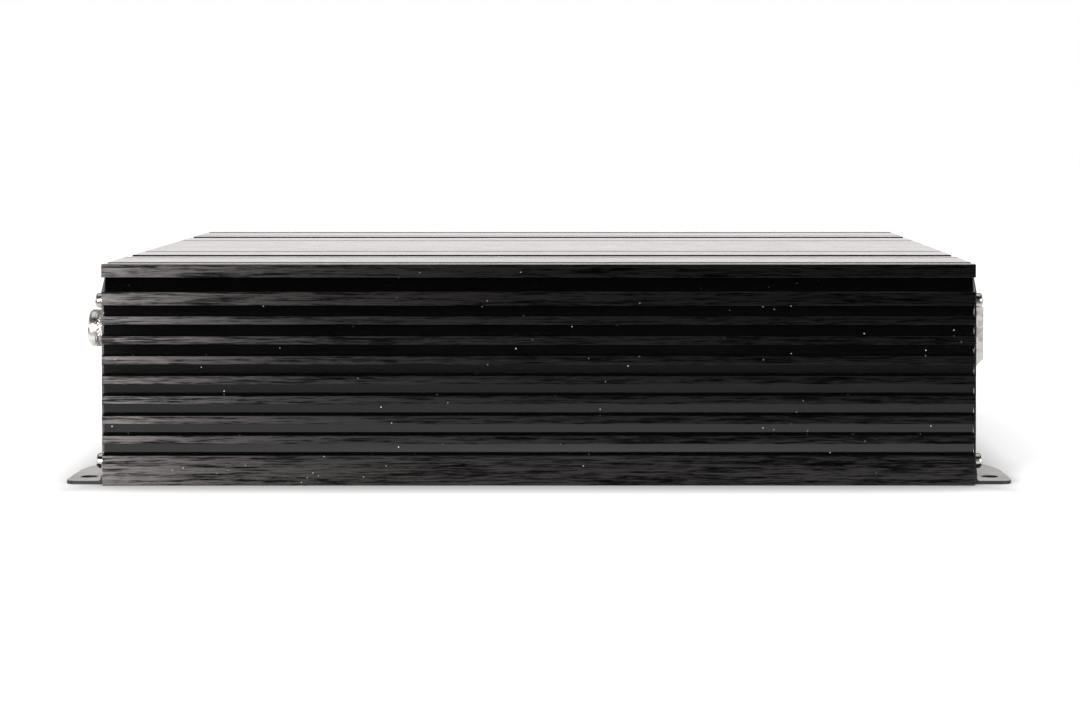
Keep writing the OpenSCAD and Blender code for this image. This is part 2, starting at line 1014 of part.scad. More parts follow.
// Blade fuse: waisted plastic body, grip edge outside and two flat blades inside
module fuse(y) {
    waist = fuse_span / 2 - 1.6;
    translate([0, y + fuse_thickness / 2, fuse_z])
        rotate([90, 0, 0])
            linear_extrude(fuse_thickness)
                polygon([
                    [fuse_in, -fuse_span / 2],
                    [fuse_out - 4, -fuse_span / 2],
                    [fuse_out - 3, -waist],
                    [fuse_out - 1.8, -waist],
                    [fuse_out - 1, -fuse_span / 2 + 0.4],
                    [fuse_out, -fuse_span / 2 + 0.4],
                    [fuse_out, fuse_span / 2 - 0.4],
                    [fuse_out - 1, fuse_span / 2 - 0.4],
                    [fuse_out - 1.8, waist],
                    [fuse_out - 3, waist],
                    [fuse_out - 4, fuse_span / 2],
                    [fuse_in, fuse_span / 2]
                ]);
    for (z = blade_z)
        block([fuse_in - 8.5, y - 0.4, fuse_z + z - 2.6], [fuse_in + 0.1, y + 0.4, fuse_z + z + 2.6]);
}

module fuse_front() {
    color("green")
        fuse(fuse_y[0]);
}

module fuse_middle() {
    color("green")
        fuse(fuse_y[1]);
}

module fuse_rear() {
    color("green")
        fuse(fuse_y[2]);
}

heatsink_shell();
bottom_cover();
bottom_cover_screws();
input_end_plate();
power_end_plate();
end_plate_screws();
main_board();
main_board_screws();
preamp_board();
board_link();
transformer_core();
transformer_winding();
output_choke_core();
output_choke_winding();
bulk_capacitors();
input_capacitors();
supply_transistors();
output_transistors();
insulator_pads();
clamp_bars();
clamp_bar_screws();
pot_bodies();
gain_shaft();
lowpass_shaft();
subsonic_shaft();
bass_boost_shaft();
gain_knob();
lowpass_knob();
subsonic_knob();
bass_boost_knob();
phase_switch_body();
phase_switch_slider();
rca_bodies();
rca_sleeves();
rca_insulators();
rca_contacts();
remote_port();
power_led();
protect_led();
terminal_carrier();
ground_terminal();
remote_terminal();
battery_terminal();
speaker_terminals();
ground_screw();
remote_screw();
battery_screw();
speaker_minus_screw();
speaker_plus_screw();
ground_pad();
remote_pad();
battery_pad();
speaker_minus_pad();
speaker_plus_pad();
fuse_sockets();
fuse_front();
fuse_middle();
fuse_rear();
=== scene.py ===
import json
import math

import bmesh
import bpy
import numpy as np
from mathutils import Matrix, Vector
from mathutils.geometry import tessellate_polygon


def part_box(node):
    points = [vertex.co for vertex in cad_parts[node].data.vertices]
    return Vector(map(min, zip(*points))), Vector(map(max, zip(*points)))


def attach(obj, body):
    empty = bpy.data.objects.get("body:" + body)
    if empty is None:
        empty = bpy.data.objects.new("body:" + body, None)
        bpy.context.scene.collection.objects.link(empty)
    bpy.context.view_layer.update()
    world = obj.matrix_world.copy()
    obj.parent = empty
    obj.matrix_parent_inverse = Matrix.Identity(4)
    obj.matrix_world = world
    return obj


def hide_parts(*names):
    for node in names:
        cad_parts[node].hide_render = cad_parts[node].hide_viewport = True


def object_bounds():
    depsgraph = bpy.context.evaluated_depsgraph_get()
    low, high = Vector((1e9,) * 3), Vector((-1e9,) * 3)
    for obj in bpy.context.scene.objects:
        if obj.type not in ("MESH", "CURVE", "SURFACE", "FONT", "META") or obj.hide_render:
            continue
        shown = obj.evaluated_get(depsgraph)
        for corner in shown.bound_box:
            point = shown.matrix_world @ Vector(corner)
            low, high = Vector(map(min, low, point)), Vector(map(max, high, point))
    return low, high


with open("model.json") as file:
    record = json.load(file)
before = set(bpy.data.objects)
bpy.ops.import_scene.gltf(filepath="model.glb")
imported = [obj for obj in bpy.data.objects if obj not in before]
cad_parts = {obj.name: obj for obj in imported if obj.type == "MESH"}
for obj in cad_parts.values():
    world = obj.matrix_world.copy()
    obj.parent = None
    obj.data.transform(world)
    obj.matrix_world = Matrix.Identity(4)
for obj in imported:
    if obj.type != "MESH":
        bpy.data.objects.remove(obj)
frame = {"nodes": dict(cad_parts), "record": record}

cadBox = [list(corner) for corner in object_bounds()]
mm = 0.001
mergeDistance = 0.001 * mm
rng = np.random.default_rng(7)
print("frame loaded:", len(frame["nodes"]), "nodes")


def makeObject(name, verts, faces, smoothAngle=30):
    # a mesh from arrays of points and corner numbers, shaded smooth below the given angle
    mesh = bpy.data.meshes.new(name)
    mesh.from_pydata(np.asarray(verts).reshape(-1, 3).tolist(), [], [list(f) for f in faces])
    mesh.validate()
    mesh.polygons.foreach_set("use_smooth", np.ones(len(mesh.polygons), bool))
    mesh.set_sharp_from_angle(angle=math.radians(smoothAngle))
    mesh.update()
    piece = bpy.data.objects.new(name, mesh)
    bpy.context.collection.objects.link(piece)
    return piece


def finishPiece(piece, body, material, replaced=()):
    # gives a piece its material and its CAD body, and hides the nodes that it stands for
    piece.data.materials.clear()
    piece.data.materials.append(material)
    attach(piece, body)
    if replaced:
        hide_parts(*replaced)
    return piece


def gridFaces(rows, columns, closedRows=False, closedColumns=False, start=0):
    # quads between neighbouring rows and columns of a grid, wrapped round where it is closed
    i = np.arange(rows if closedRows else rows - 1)
    j = np.arange(columns if closedColumns else columns - 1)
    i, j = np.meshgrid(i, j, indexing="ij")
    nextI, nextJ = (i + 1) % rows, (j + 1) % columns
    corners = [i * columns + j, nextI * columns + j, nextI * columns + nextJ, i * columns + nextJ]
    quads = np.stack(corners, -1)
    return quads.reshape(-1, 4) + start


def roundedOutline(corners, radii, steps=3):
    # each corner of a closed outline becomes an arc: the centre lies on the corner's bisector,
    # radius / sin(half angle) away, and the arc is the slerp between its two tangent points
    p = np.asarray(corners, float)
    r = np.broadcast_to(np.asarray(radii, float), len(p))
    toLast, toNext = np.roll(p, 1, 0) - p, np.roll(p, -1, 0) - p
    lastLength, nextLength = np.linalg.norm(toLast, axis=1), np.linalg.norm(toNext, axis=1)
    u, v = toLast / lastLength[:, None], toNext / nextLength[:, None]
    angle = np.arccos(np.clip((u * v).sum(1), -0.99999, 0.99999))
    r = np.minimum(r, 0.45 * np.minimum(lastLength, nextLength) * np.tan(angle / 2))
    bisector = (u + v) / np.linalg.norm(u + v, axis=1)[:, None]
    centre = p + bisector * (r / np.sin(angle / 2))[:, None]
    first = p + u * (r / np.tan(angle / 2))[:, None] - centre
    last = p + v * (r / np.tan(angle / 2))[:, None] - centre
    turn = math.pi - angle
    s = np.linspace(0, 1, steps + 1)[None, :, None]
    turn = turn[:, None, None]
    arcs = (np.sin((1 - s) * turn) * first[:, None] + np.sin(s * turn) * last[:, None]) / np.sin(turn)
    return (centre[:, None] + arcs).reshape(-1, 2)


def outlineNormals(outline):
    # the outward normal at each point: the mean of its two edges' normals
    edge = np.roll(outline, -1, 0) - outline
    normal = np.stack([edge[:, 1], -edge[:, 0]], 1) / np.linalg.norm(edge, axis=1)[:, None]
    mean = normal + np.roll(normal, 1, 0)
    return mean / np.linalg.norm(mean, axis=1)[:, None]


def sweptAlongX(outline, ends, edgeBreak, roundShare=0.3):
    # an outline carried along X; over the last edgeBreak before each end it shrinks along its normals,
    # by roundShare of edgeBreak at roundShare of that length, which breaks the edge
    low, high = ends
    step = np.array([0, roundShare, 1]) * edgeBreak
    stations = np.concatenate([low + step, high - step[::-1]])
    inset = np.array([1, roundShare, 0]) * edgeBreak
    inset = np.concatenate([inset, inset[::-1]])
    ring = outline[None] - outlineNormals(outline)[None] * inset[:, None, None]
    x = np.broadcast_to(stations[:, None, None], ring.shape[:2] + (1,))
    return np.concatenate([x, ring], 2)


def revolved(profile, segments, origin, axis, wave=None):
    # a profile of (distance along the axis, radius) turned round the axis: each point goes to radius times
    # the cosine and sine of the angle; wave may change radius and distance by angle
    profile = np.asarray(profile, float)
    axis = Vector(axis)
    turn = axis.to_track_quat("Z", "Y").to_matrix()
    angle = np.linspace(0, 2 * math.pi, segments, endpoint=False)
    along = np.broadcast_to(profile[:, :1], (len(profile), segments))
    radius = np.broadcast_to(profile[:, 1:], (len(profile), segments))
    if wave is not None:
        radius, along = wave(radius, along, angle[None])
    points = np.stack([radius * np.cos(angle), radius * np.sin(angle), along], -1)
    return points @ np.array(turn).T + np.asarray(origin)


def turnOutward(piece, merge=None):
    # merges points that are closer than merge, where it is given, then turns every face outwards
    work = bmesh.new()
    work.from_mesh(piece.data)
    if merge:
        bmesh.ops.remove_doubles(work, verts=work.verts, dist=merge)
    bmesh.ops.recalc_face_normals(work, faces=work.faces)
    work.to_mesh(piece.data)
    work.free()


def nodeCentre(name):
    # the mean of the two corners of a node's box
    low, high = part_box(name)
    return (np.array(low) + np.array(high)) / 2


def weightNormals(piece):
    # large faces keep their own direction; only the small ones next to them are bent
    weighted = piece.modifiers.new("normals", "WEIGHTED_NORMAL")
    weighted.keep_sharp = True
    weighted.weight = 80


def refinedCopy(node, name, edge, smoothAngle=30, segments=2):
    # a merged copy of a CAD node with its flat faces joined and its edges rounded by a bevel
    source = frame["nodes"][node]
    mesh = source.data.copy()
    mesh.name = name
    work = bmesh.new()
    work.from_mesh(mesh)
    bmesh.ops.remove_doubles(work, verts=work.verts, dist=mergeDistance)
    bmesh.ops.dissolve_limit(
        work, angle_limit=math.radians(1), verts=work.verts, edges=work.edges, delimit=set()
    )
    bmesh.ops.recalc_face_normals(work, faces=work.faces)
    work.to_mesh(mesh)
    work.free()
    mesh.materials.clear()
    mesh.polygons.foreach_set("use_smooth", np.ones(len(mesh.polygons), bool))
    mesh.set_sharp_from_angle(angle=math.radians(smoothAngle))
    piece = bpy.data.objects.new(name, mesh)
    bpy.context.collection.objects.link(piece)
    bevel = piece.modifiers.new("edge", "BEVEL")
    bevel.width = edge
    bevel.segments = segments
    bevel.limit_method = "ANGLE"
    bevel.angle_limit = math.radians(40)
    bevel.harden_normals = False
    bevel.use_clamp_overlap = True
    weightNormals(piece)
    return piece


def newGroup(name, inputs, outputs):
    # an empty shader group with float or colour sockets, and its two end nodes
    group = bpy.data.node_groups.new(name, "ShaderNodeTree")
    for label, kind, value in inputs:
        socket = group.interface.new_socket(name=label, in_out="INPUT", socket_type=kind)
        socket.default_value = value
    for label, kind in outputs:
        group.interface.new_socket(name=label, in_out="OUTPUT", socket_type=kind)
    return group, group.nodes.new("NodeGroupInput"), group.nodes.new("NodeGroupOutput")


def addNode(tree, kind, **values):
    # a node with its properties set, and its sockets set where the name is a socket's
    node = tree.nodes.new(kind)
    for key, value in values.items():
        if key.startswith("in_"):
            node.inputs[key[3:].replace("_", " ")].default_value = value
        else:
            setattr(node, key, value)
    return node


def mathNode(tree, operation, first, second=None, third=None, clamp=False):
    # one Math node; each operand is a socket or a number
    node = tree.nodes.new("ShaderNodeMath")
    node.operation = operation
    node.use_clamp = clamp
    for place, operand in enumerate((first, second, third)):
        if operand is None:
            continue
        if isinstance(operand, (int, float)):
            node.inputs[place].default_value = operand
        else:
            tree.links.new(operand, node.inputs[place])
    return node.outputs[0]


def rangeNode(tree, value, low, high, outLow=0.0, outHigh=1.0, smooth=True):
    # maps a value from one range to another, clamped
    node = tree.nodes.new("ShaderNodeMapRange")
    node.interpolation_type = "SMOOTHSTEP" if smooth else "LINEAR"
    node.clamp = True
    tree.links.new(value, node.inputs["Value"])
    ends = (("From Min", low), ("From Max", high), ("To Min", outLow), ("To Max", outHigh))
    for label, number in ends:
        if isinstance(number, (int, float)):
            node.inputs[label].default_value = number
        else:
            tree.links.new(number, node.inputs[label])
    return node.outputs["Result"]


def mixValue(tree, factor, first, second):
    # a mix of two numbers, each a socket
    node = tree.nodes.new("ShaderNodeMix")
    for place, socket in ((0, factor), (2, first), (3, second)):
        tree.links.new(socket, node.inputs[place])
    return node.outputs[0]


def mixColour(tree, factor, first, second):
    # a colour mix; each colour is a socket or a tuple, and a factor above one goes past the second colour
    node = tree.nodes.new("ShaderNodeMix")
    node.data_type = "RGBA"
    node.clamp_factor = False
    tree.links.new(factor, node.inputs[0])
    for place, colour in ((6, first), (7, second)):
        if isinstance(colour, tuple):
            node.inputs[place].default_value = (*colour, 1)
        else:
            tree.links.new(colour, node.inputs[place])
    return node.outputs[2]


grainLook = {
    "coarse": ((85, 2300, 2300), 3),
    "fine": ((260, 4300, 4300), 2),
    "broad": ((18, 560, 560), 2),
    "broadPush": 0.05,
    "streakRange": (0.42, 0.57),
}


def makeGrainGroup():
    # brushed grain: noise that is long along X and fine across it; streak height is the coarse layer times
    # Coarse plus the fine layer times the rest, pushed up or down by a broad layer
    group, gin, gout = newGroup(
        "brushedGrain",
        [("Coarse", "NodeSocketFloat", 0.6), ("Shift", "NodeSocketFloat", 0.0)],
        [("Streak", "NodeSocketFloat"), ("Height", "NodeSocketFloat")],
    )
    place = addNode(group, "ShaderNodeTexCoord")
    layers = []
    for scale, detail in (grainLook["coarse"], grainLook["fine"], grainLook["broad"]):
        stretch = addNode(group, "ShaderNodeMapping")
        stretch.inputs["Scale"].default_value = scale
        group.links.new(place.outputs["Object"], stretch.inputs["Vector"])
        noise = addNode(group, "ShaderNodeTexNoise", noise_dimensions="4D", in_Scale=1, in_Roughness=0.6)
        noise.inputs["Detail"].default_value = detail
        group.links.new(stretch.outputs[0], noise.inputs["Vector"])
        group.links.new(gin.outputs["Shift"], noise.inputs["W"])
        layers.append(noise.outputs["Fac"])
    coarse = mathNode(group, "MULTIPLY", layers[0], gin.outputs["Coarse"])
    restWeight = mathNode(group, "SUBTRACT", 1.0, gin.outputs["Coarse"])
    fine = mathNode(group, "MULTIPLY", layers[1], restWeight)
    streak = mathNode(group, "ADD", coarse, fine)
    push = grainLook["broadPush"]
    broad = rangeNode(group, layers[2], 0.3, 0.7, -push, push, smooth=False)
    streak = mathNode(group, "ADD", streak, broad)
    contrasted = rangeNode(group, streak, *grainLook["streakRange"], smooth=False)
    group.links.new(contrasted, gout.inputs["Streak"])
    group.links.new(streak, gout.inputs["Height"])
    return group


def makeSpeckGroup():
    # dust: a speck is where the distance to a cell's centre is under Size and the cell's random number is
    # under Share; a fine noise bends the specks out of round
    group, gin, gout = newGroup(
        "dustSpecks",
        [
            ("Scale", "NodeSocketFloat", 300.0),
            ("Share", "NodeSocketFloat", 0.05),
            ("Size", "NodeSocketFloat", 0.1),
        ],
        [("Speck", "NodeSocketFloat")],
    )
    place = addNode(group, "ShaderNodeTexCoord")
    warp = addNode(group, "ShaderNodeTexNoise", in_Scale=900, in_Detail=1)
    group.links.new(place.outputs["Object"], warp.inputs["Vector"])
    push = addNode(group, "ShaderNodeVectorMath", operation="SCALE", in_Scale=0.0004)
    group.links.new(warp.outputs["Color"], push.inputs[0])
    moved = addNode(group, "ShaderNodeVectorMath", operation="ADD")
    group.links.new(place.outputs["Object"], moved.inputs[0])
    group.links.new(push.outputs[0], moved.inputs[1])
    cells = addNode(group, "ShaderNodeTexVoronoi", in_Randomness=1)
    group.links.new(moved.outputs[0], cells.inputs["Vector"])
    group.links.new(gin.outputs["Scale"], cells.inputs["Scale"])
    near = mathNode(group, "LESS_THAN", cells.outputs["Distance"], gin.outputs["Size"])
    split = addNode(group, "ShaderNodeSeparateColor")
    group.links.new(cells.outputs["Color"], split.inputs[0])
    chosen = mathNode(group, "LESS_THAN", split.outputs[0], gin.outputs["Share"])
    group.links.new(mathNode(group, "MULTIPLY", near, chosen), gout.inputs["Speck"])
    return group


def makeMarksGroup():
    # handling marks: broad soft noise for smudges, and a fine noise for the skin of paint or plating
    group, gin, gout = newGroup(
        "handledMarks",
        [("Scale", "NodeSocketFloat", 60.0), ("Amount", "NodeSocketFloat", 0.5)],
        [("Smudge", "NodeSocketFloat"), ("Peel", "NodeSocketFloat")],
    )
    place = addNode(group, "ShaderNodeTexCoord")
    broad = addNode(group, "ShaderNodeTexNoise", in_Detail=5, in_Roughness=0.55)
    group.links.new(place.outputs["Object"], broad.inputs["Vector"])
    group.links.new(gin.outputs["Scale"], broad.inputs["Scale"])
    smudge = rangeNode(group, broad.outputs["Fac"], 0.35, 0.7)
    group.links.new(mathNode(group, "MULTIPLY", smudge, gin.outputs["Amount"]), gout.inputs["Smudge"])
    peel = addNode(group, "ShaderNodeTexNoise", in_Scale=1400, in_Detail=2, in_Roughness=0.5)
    group.links.new(place.outputs["Object"], peel.inputs["Vector"])
    group.links.new(peel.outputs["Fac"], gout.inputs["Peel"])
    return group


grainGroup = makeGrainGroup()
speckGroup = makeSpeckGroup()
marksGroup = makeMarksGroup()


def groupNode(tree, group, **values):
    # a group placed in a material with its own values
    node = tree.nodes.new("ShaderNodeGroup")
    node.node_tree = group
    for key, value in values.items():
        node.inputs[key].default_value = value
    return node


def startMaterial(name, **sockets):
    # a material with one Principled shader; the named sockets get constant values
    material = bpy.data.materials.new(name)
    material.use_nodes = True
    tree = material.node_tree
    shader = tree.nodes["Principled BSDF"]
    for key, value in sockets.items():
        shader.inputs[key.replace("_", " ")].default_value = value
    return material, tree, shader


def addBump(tree, shader, height, strength, distance):
    # a Bump node from a height socket to the shader's normal
    bump = addNode(tree, "ShaderNodeBump", in_Strength=strength, in_Distance=distance)
    tree.links.new(height, bump.inputs["Height"])
    tree.links.new(bump.outputs[0], shader.inputs["Normal"])
    return bump


extrusionLook = {
    "brushedDark": (0.004, 0.0039, 0.0039),
    "brushedLight": (0.07, 0.0675, 0.0663),
    "smoothColour": (0.0008, 0.0008, 0.001),
    "sideRough": (0.42, 0.30),
    "topRough": (0.17, 0.13),
    "recessRough": (0.05, 0.09),
    "anisotropy": 0.85,
    "specular": 0.85,
    "refraction": 1.9,
    "dustColour": (0.55, 0.54, 0.52),
    "faceBand": (0.35 * mm, 0.05 * mm),
    "topBand": (0.12 * mm, 0.03 * mm),
    "coarseShare": 0.62,
    "largeDust": {"Scale": 240.0, "Share": 0.015, "Size": 0.045},
    "fineDust": {"Scale": 620.0, "Share": 0.07, "Size": 0.09},
    "marks": {"Scale": 38.0, "Amount": 0.5},
    "grainBump": (0.5, 0.06 * mm),
    "smoothBump": 0.08,
}


def makeExtrusionMaterial():
    # brushed where a face lies in the outer planes, smooth anodising in the recesses; the tangent is the
    # true normal crossed with X, so reflections spread across the brushing
    look = extrusionLook
    material, tree, shader = startMaterial(
        "anodisedExtrusion",
        Roughness=0.4,
        Specular_IOR_Level=look["specular"],
        Anisotropic=look["anisotropy"],
        IOR=look["refraction"],
    )
    links = tree.links
    place = addNode(tree, "ShaderNodeTexCoord")
    split = addNode(tree, "ShaderNodeSeparateXYZ")
    links.new(place.outputs["Object"], split.inputs[0])
    high = cadBox[1]
    sideDistance = mathNode(tree, "SUBTRACT", high[1], mathNode(tree, "ABSOLUTE", split.outputs[1]))
    topDistance = mathNode(tree, "SUBTRACT", high[2], split.outputs[2])
    onSide = rangeNode(tree, sideDistance, *look["faceBand"])
    onTop = rangeNode(tree, topDistance, *look["topBand"])
    brushed = mathNode(tree, "MAXIMUM", onSide, onTop)
    grain = groupNode(tree, grainGroup, Coarse=look["coarseShare"], Shift=2.0)
    specks = groupNode(tree, speckGroup, **look["largeDust"])
    fineSpecks = groupNode(tree, speckGroup, **look["fineDust"])
    marks = groupNode(tree, marksGroup, **look["marks"])
    brushedColour = mixColour(tree, grain.outputs["Streak"], look["brushedDark"], look["brushedLight"])
    colour = mixColour(tree, brushed, look["smoothColour"], brushedColour)
    dust = mathNode(tree, "MAXIMUM", specks.outputs[0], fineSpecks.outputs[0])
    colour = mixColour(tree, mathNode(tree, "MULTIPLY", dust, 0.8), colour, look["dustColour"])
    links.new(colour, shader.inputs["Base Color"])
    links.new(brushed, shader.inputs["Metallic"])
    sideRough = rangeNode(tree, grain.outputs["Streak"], 0, 1, *look["sideRough"], smooth=False)
    topRough = rangeNode(tree, grain.outputs["Streak"], 0, 1, *look["topRough"], smooth=False)
    recessRough = rangeNode(tree, marks.outputs["Smudge"], 0, 1, *look["recessRough"], smooth=False)
    rough = mixValue(tree, brushed, recessRough, mixValue(tree, onTop, sideRough, topRough))
    dustRough = mathNode(tree, "MULTIPLY", dust, 0.5)
    links.new(mathNode(tree, "ADD", rough, dustRough), shader.inputs["Roughness"])
    sideOnly = mathNode(tree, "SUBTRACT", brushed, onTop)
    grainDepth = mathNode(tree, "MULTIPLY_ADD", sideOnly, 1 - look["smoothBump"], look["smoothBump"])
    height = mathNode(tree, "MULTIPLY", grain.outputs["Height"], grainDepth)
    addBump(tree, shader, height, *look["grainBump"])
    surface = addNode(tree, "ShaderNodeNewGeometry")
    across = addNode(tree, "ShaderNodeVectorMath", operation="CROSS_PRODUCT")
    links.new(surface.outputs["True Normal"], across.inputs[0])
    across.inputs[1].default_value = (1, 0.02, 0.01)
    links.new(across.outputs[0], shader.inputs["Tangent"])
    return material


def makePaintMaterial(name, colour, rough, peel, gloss=0.5):
    # paint: a fine orange peel and slightly uneven roughness; gloss is the strength of its reflection
    material, tree, shader = startMaterial(name, Metallic=0.0, Roughness=rough, Specular_IOR_Level=gloss)
    marks = groupNode(tree, marksGroup, Scale=45.0, Amount=1.0)
    specks = groupNode(tree, speckGroup, Scale=260.0, Share=0.03, Size=0.06)
    tone = mixColour(tree, marks.outputs["Smudge"], colour, tuple(c * 1.5 + 0.004 for c in colour))
    tone = mixColour(tree, mathNode(tree, "MULTIPLY", specks.outputs[0], 0.6), tone, (0.5, 0.49, 0.47))
    tree.links.new(tone, shader.inputs["Base Color"])
    uneven = rangeNode(tree, marks.outputs["Smudge"], 0, 1, rough * 0.85, rough * 1.3, smooth=False)
    tree.links.new(uneven, shader.inputs["Roughness"])
    addBump(tree, shader, marks.outputs["Peel"], peel, 0.05 * mm)
    return material


def makeMetalMaterial(name, colour, rough, scratch=0.25, scale=500.0):
    # plated or turned metal: tone and gloss vary with fine handling marks
    material, tree, shader = startMaterial(name, Metallic=1.0, Roughness=rough)
    marks = groupNode(tree, marksGroup, Scale=scale, Amount=1.0)
    tone = mixColour(tree, marks.outputs["Smudge"], colour, tuple(c * 0.78 for c in colour))
    tree.links.new(tone, shader.inputs["Base Color"])
    gloss = rangeNode(tree, marks.outputs["Smudge"], 0, 1, rough * 0.8, rough * 1.5, smooth=False)
    tree.links.new(gloss, shader.inputs["Roughness"])
    addBump(tree, shader, marks.outputs["Peel"], scratch, 0.03 * mm)
    return material


def makePlasticMaterial(name, colour, rough, grain=0.3):
    # moulded plastic: fine mould texture and a slight change of tone
    material, tree, shader = startMaterial(name, Roughness=rough)
    marks = groupNode(tree, marksGroup, Scale=120.0, Amount=1.0)
    paler = tuple(min(c * 1.35 + 0.003, 1) for c in colour)
    tone = mixColour(tree, marks.outputs["Smudge"], colour, paler)
    tree.links.new(tone, shader.inputs["Base Color"])
    dullest = min(rough * 1.25, 1.0)
    gloss = rangeNode(tree, marks.outputs["Smudge"], 0, 1, rough * 0.9, dullest, smooth=False)
    tree.links.new(gloss, shader.inputs["Roughness"])
    addBump(tree, shader, marks.outputs["Peel"], grain, 0.05 * mm)
    return material


materials = {
    "anodised_black": makeExtrusionMaterial(),
    "cover_black": makePaintMaterial("satinCoverPaint", (0.022, 0.022, 0.023), 0.38, 0.45),
    "plate_black": makePaintMaterial("glossPlatePaint", (0.008, 0.008, 0.008), 0.2, 0.12, 0.3),
    "nickel_screw": makeMetalMaterial("screwNickel", (0.66, 0.63, 0.60), 0.17),
    "circuit_board": makePlasticMaterial("solderMask", (0.012, 0.09, 0.035), 0.3, 0.2),
    "black_plastic": makePlasticMaterial("blackMoulding", (0.016, 0.016, 0.017), 0.42, 0.5),
    "ferrite": makePlasticMaterial("ferriteGrey", (0.05, 0.05, 0.055), 0.6, 0.6),
    "copper_wire": makeMetalMaterial("enamelledCopper", (0.62, 0.24, 0.09), 0.25),
    "iron_powder": makePlasticMaterial("corePaint", (0.55, 0.50, 0.10), 0.45, 0.5),
    "capacitor_sleeve": makePlasticMaterial("capacitorSleeve", (0.015, 0.022, 0.07), 0.25, 0.15),
    "transistor_mould": makePlasticMaterial("epoxyMould", (0.02, 0.02, 0.021), 0.5, 0.6),
    "heat_pad": makePlasticMaterial("heatPadPink", (0.62, 0.42, 0.38), 0.7, 0.3),
    "bar_aluminium": makeMetalMaterial("millAluminium", (0.77, 0.77, 0.78), 0.32),
    "switch_steel": makeMetalMaterial("tinnedSteel", (0.56, 0.56, 0.55), 0.3),
    "shaft_metal": makeMetalMaterial("turnedShaft", (0.70, 0.70, 0.70), 0.25),
    "knob_nickel": makeMetalMaterial("knobNickel", (0.84, 0.81, 0.78), 0.22),
    "contact_nickel": makeMetalMaterial("contactNickel", (0.86, 0.83, 0.80), 0.36),
    "socket_white": makePlasticMaterial("socketWhite", (0.72, 0.72, 0.70), 0.35, 0.2),
    "lens_blue": makePlasticMaterial("lensBlue", (0.03, 0.10, 0.62), 0.1, 0.05),
    "lens_red": makePlasticMaterial("lensRed", (0.55, 0.02, 0.02), 0.1, 0.05),
    "clamp_steel": makeMetalMaterial("zincScrew", (0.55, 0.55, 0.56), 0.25),
    "fuse_green": makePlasticMaterial("fuseGreen", (0.03, 0.38, 0.12), 0.2, 0.1),
}
slotOf = {part["node"]: part["material_slot"] for part in frame["record"]["subparts"]}
for nodeName, nodeObject in frame["nodes"].items():
    nodeObject.data.materials.clear()
    nodeObject.data.materials.append(materials[slotOf[nodeName]])
print("materials made:", len(materials))


extrusion = {
    "baseBand": 8.6, "ribCount": 7, "ribPitch": 5.71, "ribFace": 2.35, "ribDepth": 3.2,
    "ribRise": 0.7, "ribLip": 0.45, "wideRib": 3.7, "capGap": 4.3, "gapDepth": 6.0,
    "topSteps": [(4.5, 0), (4.9, 0.4), (9.92, 0.4), (10, 0), (33, 0), (33.6, 0.35), (34.4, 0.35), (35, 0),
                 (41, 0), (41.1, 0.5), (49.92, 0.5), (50, 0), (67, 0), (70, 0.25), (73, 0)],
    "edge": 0.16, "outerEdge": 0.35, "endEdge": 0.06,
    "capFace": 3.8, "wallIn": 7.2, "coverEdge": 5.7, "cornerIn": 15.0, "coverSeat": 1.5, "boardSeat": 12.4,
    "wallHigh": 44, "cornerLow": 49, "topThickness": 4, "innerChamfer": 1, "stepRadius": 0.12,
    "innerRadius": 0.1, "lipRadius": 0.05, "gapRadius": 0.2, "lipShare": 0.75, "smoothAngle": 35,
}


def extrusionOutlines():
    # half of the outer and of the inner outline in millimetres, on the +Y side, from the floor up; rib k
    # ends one pitch above rib k - 1, and each point has the radius of its corner
    e = extrusion
    depth, height = cadBox[1][1] / mm, cadBox[1][2] / mm
    ribTops = [e["baseBand"] + k * e["ribPitch"] for k in range(e["ribCount"] + 1)]
    capLow = height - e["capFace"]
    wideHigh = capLow - e["capGap"]
    wideLow = wideHigh - e["wideRib"]
    deep = depth - e["ribDepth"]
    lip = deep + e["ribLip"]
    outer, radii = [(depth, 0)], [e["outerEdge"]]
    for k, top in enumerate(ribTops):
        under = ribTops[k + 1] - e["ribFace"] if k < e["ribCount"] else wideLow
        wallTop = top + e["ribRise"]
        outer += [(depth, top), (lip, top + e["ribRise"] * e["lipShare"]), (lip, wallTop), (deep, wallTop)]
        outer += [(deep, under), (depth, under)]
        radii += [e["edge"]] + [e["lipRadius"]] * 3 + [e["edge"]] * 2
    outer += [(depth, wideHigh), (depth - e["gapDepth"], capLow), (depth, capLow), (depth, height)]
    radii += [e["edge"], e["gapRadius"], e["edge"], e["outerEdge"]]
    outer += [(depth - inward, height - drop) for inward, drop in e["topSteps"]]
    radii += [e["stepRadius"]] * len(e["topSteps"])
    ceiling, wall, corner = height - e["topThickness"], depth - e["wallIn"], depth - e["cornerIn"]
    inner = [(depth - e["coverEdge"], 0), (depth - e["coverEdge"], e["coverSeat"])]
    inner += [(corner, e["coverSeat"]), (corner, e["boardSeat"]), (wall, e["boardSeat"])]
    inner += [(wall, e["wallHigh"]), (corner, e["cornerLow"]), (corner, ceiling - e["innerChamfer"])]
    inner += [(corner - e["innerChamfer"], ceiling)]
    radii += [e["innerRadius"]] * len(inner)
    return np.array(outer), np.array(inner[::-1]), np.array(radii)


def mirrored(points):
    # the same outline on the -Y side, in the opposite order: Y changes sign
    return points[::-1] * np.array([-1, 1])


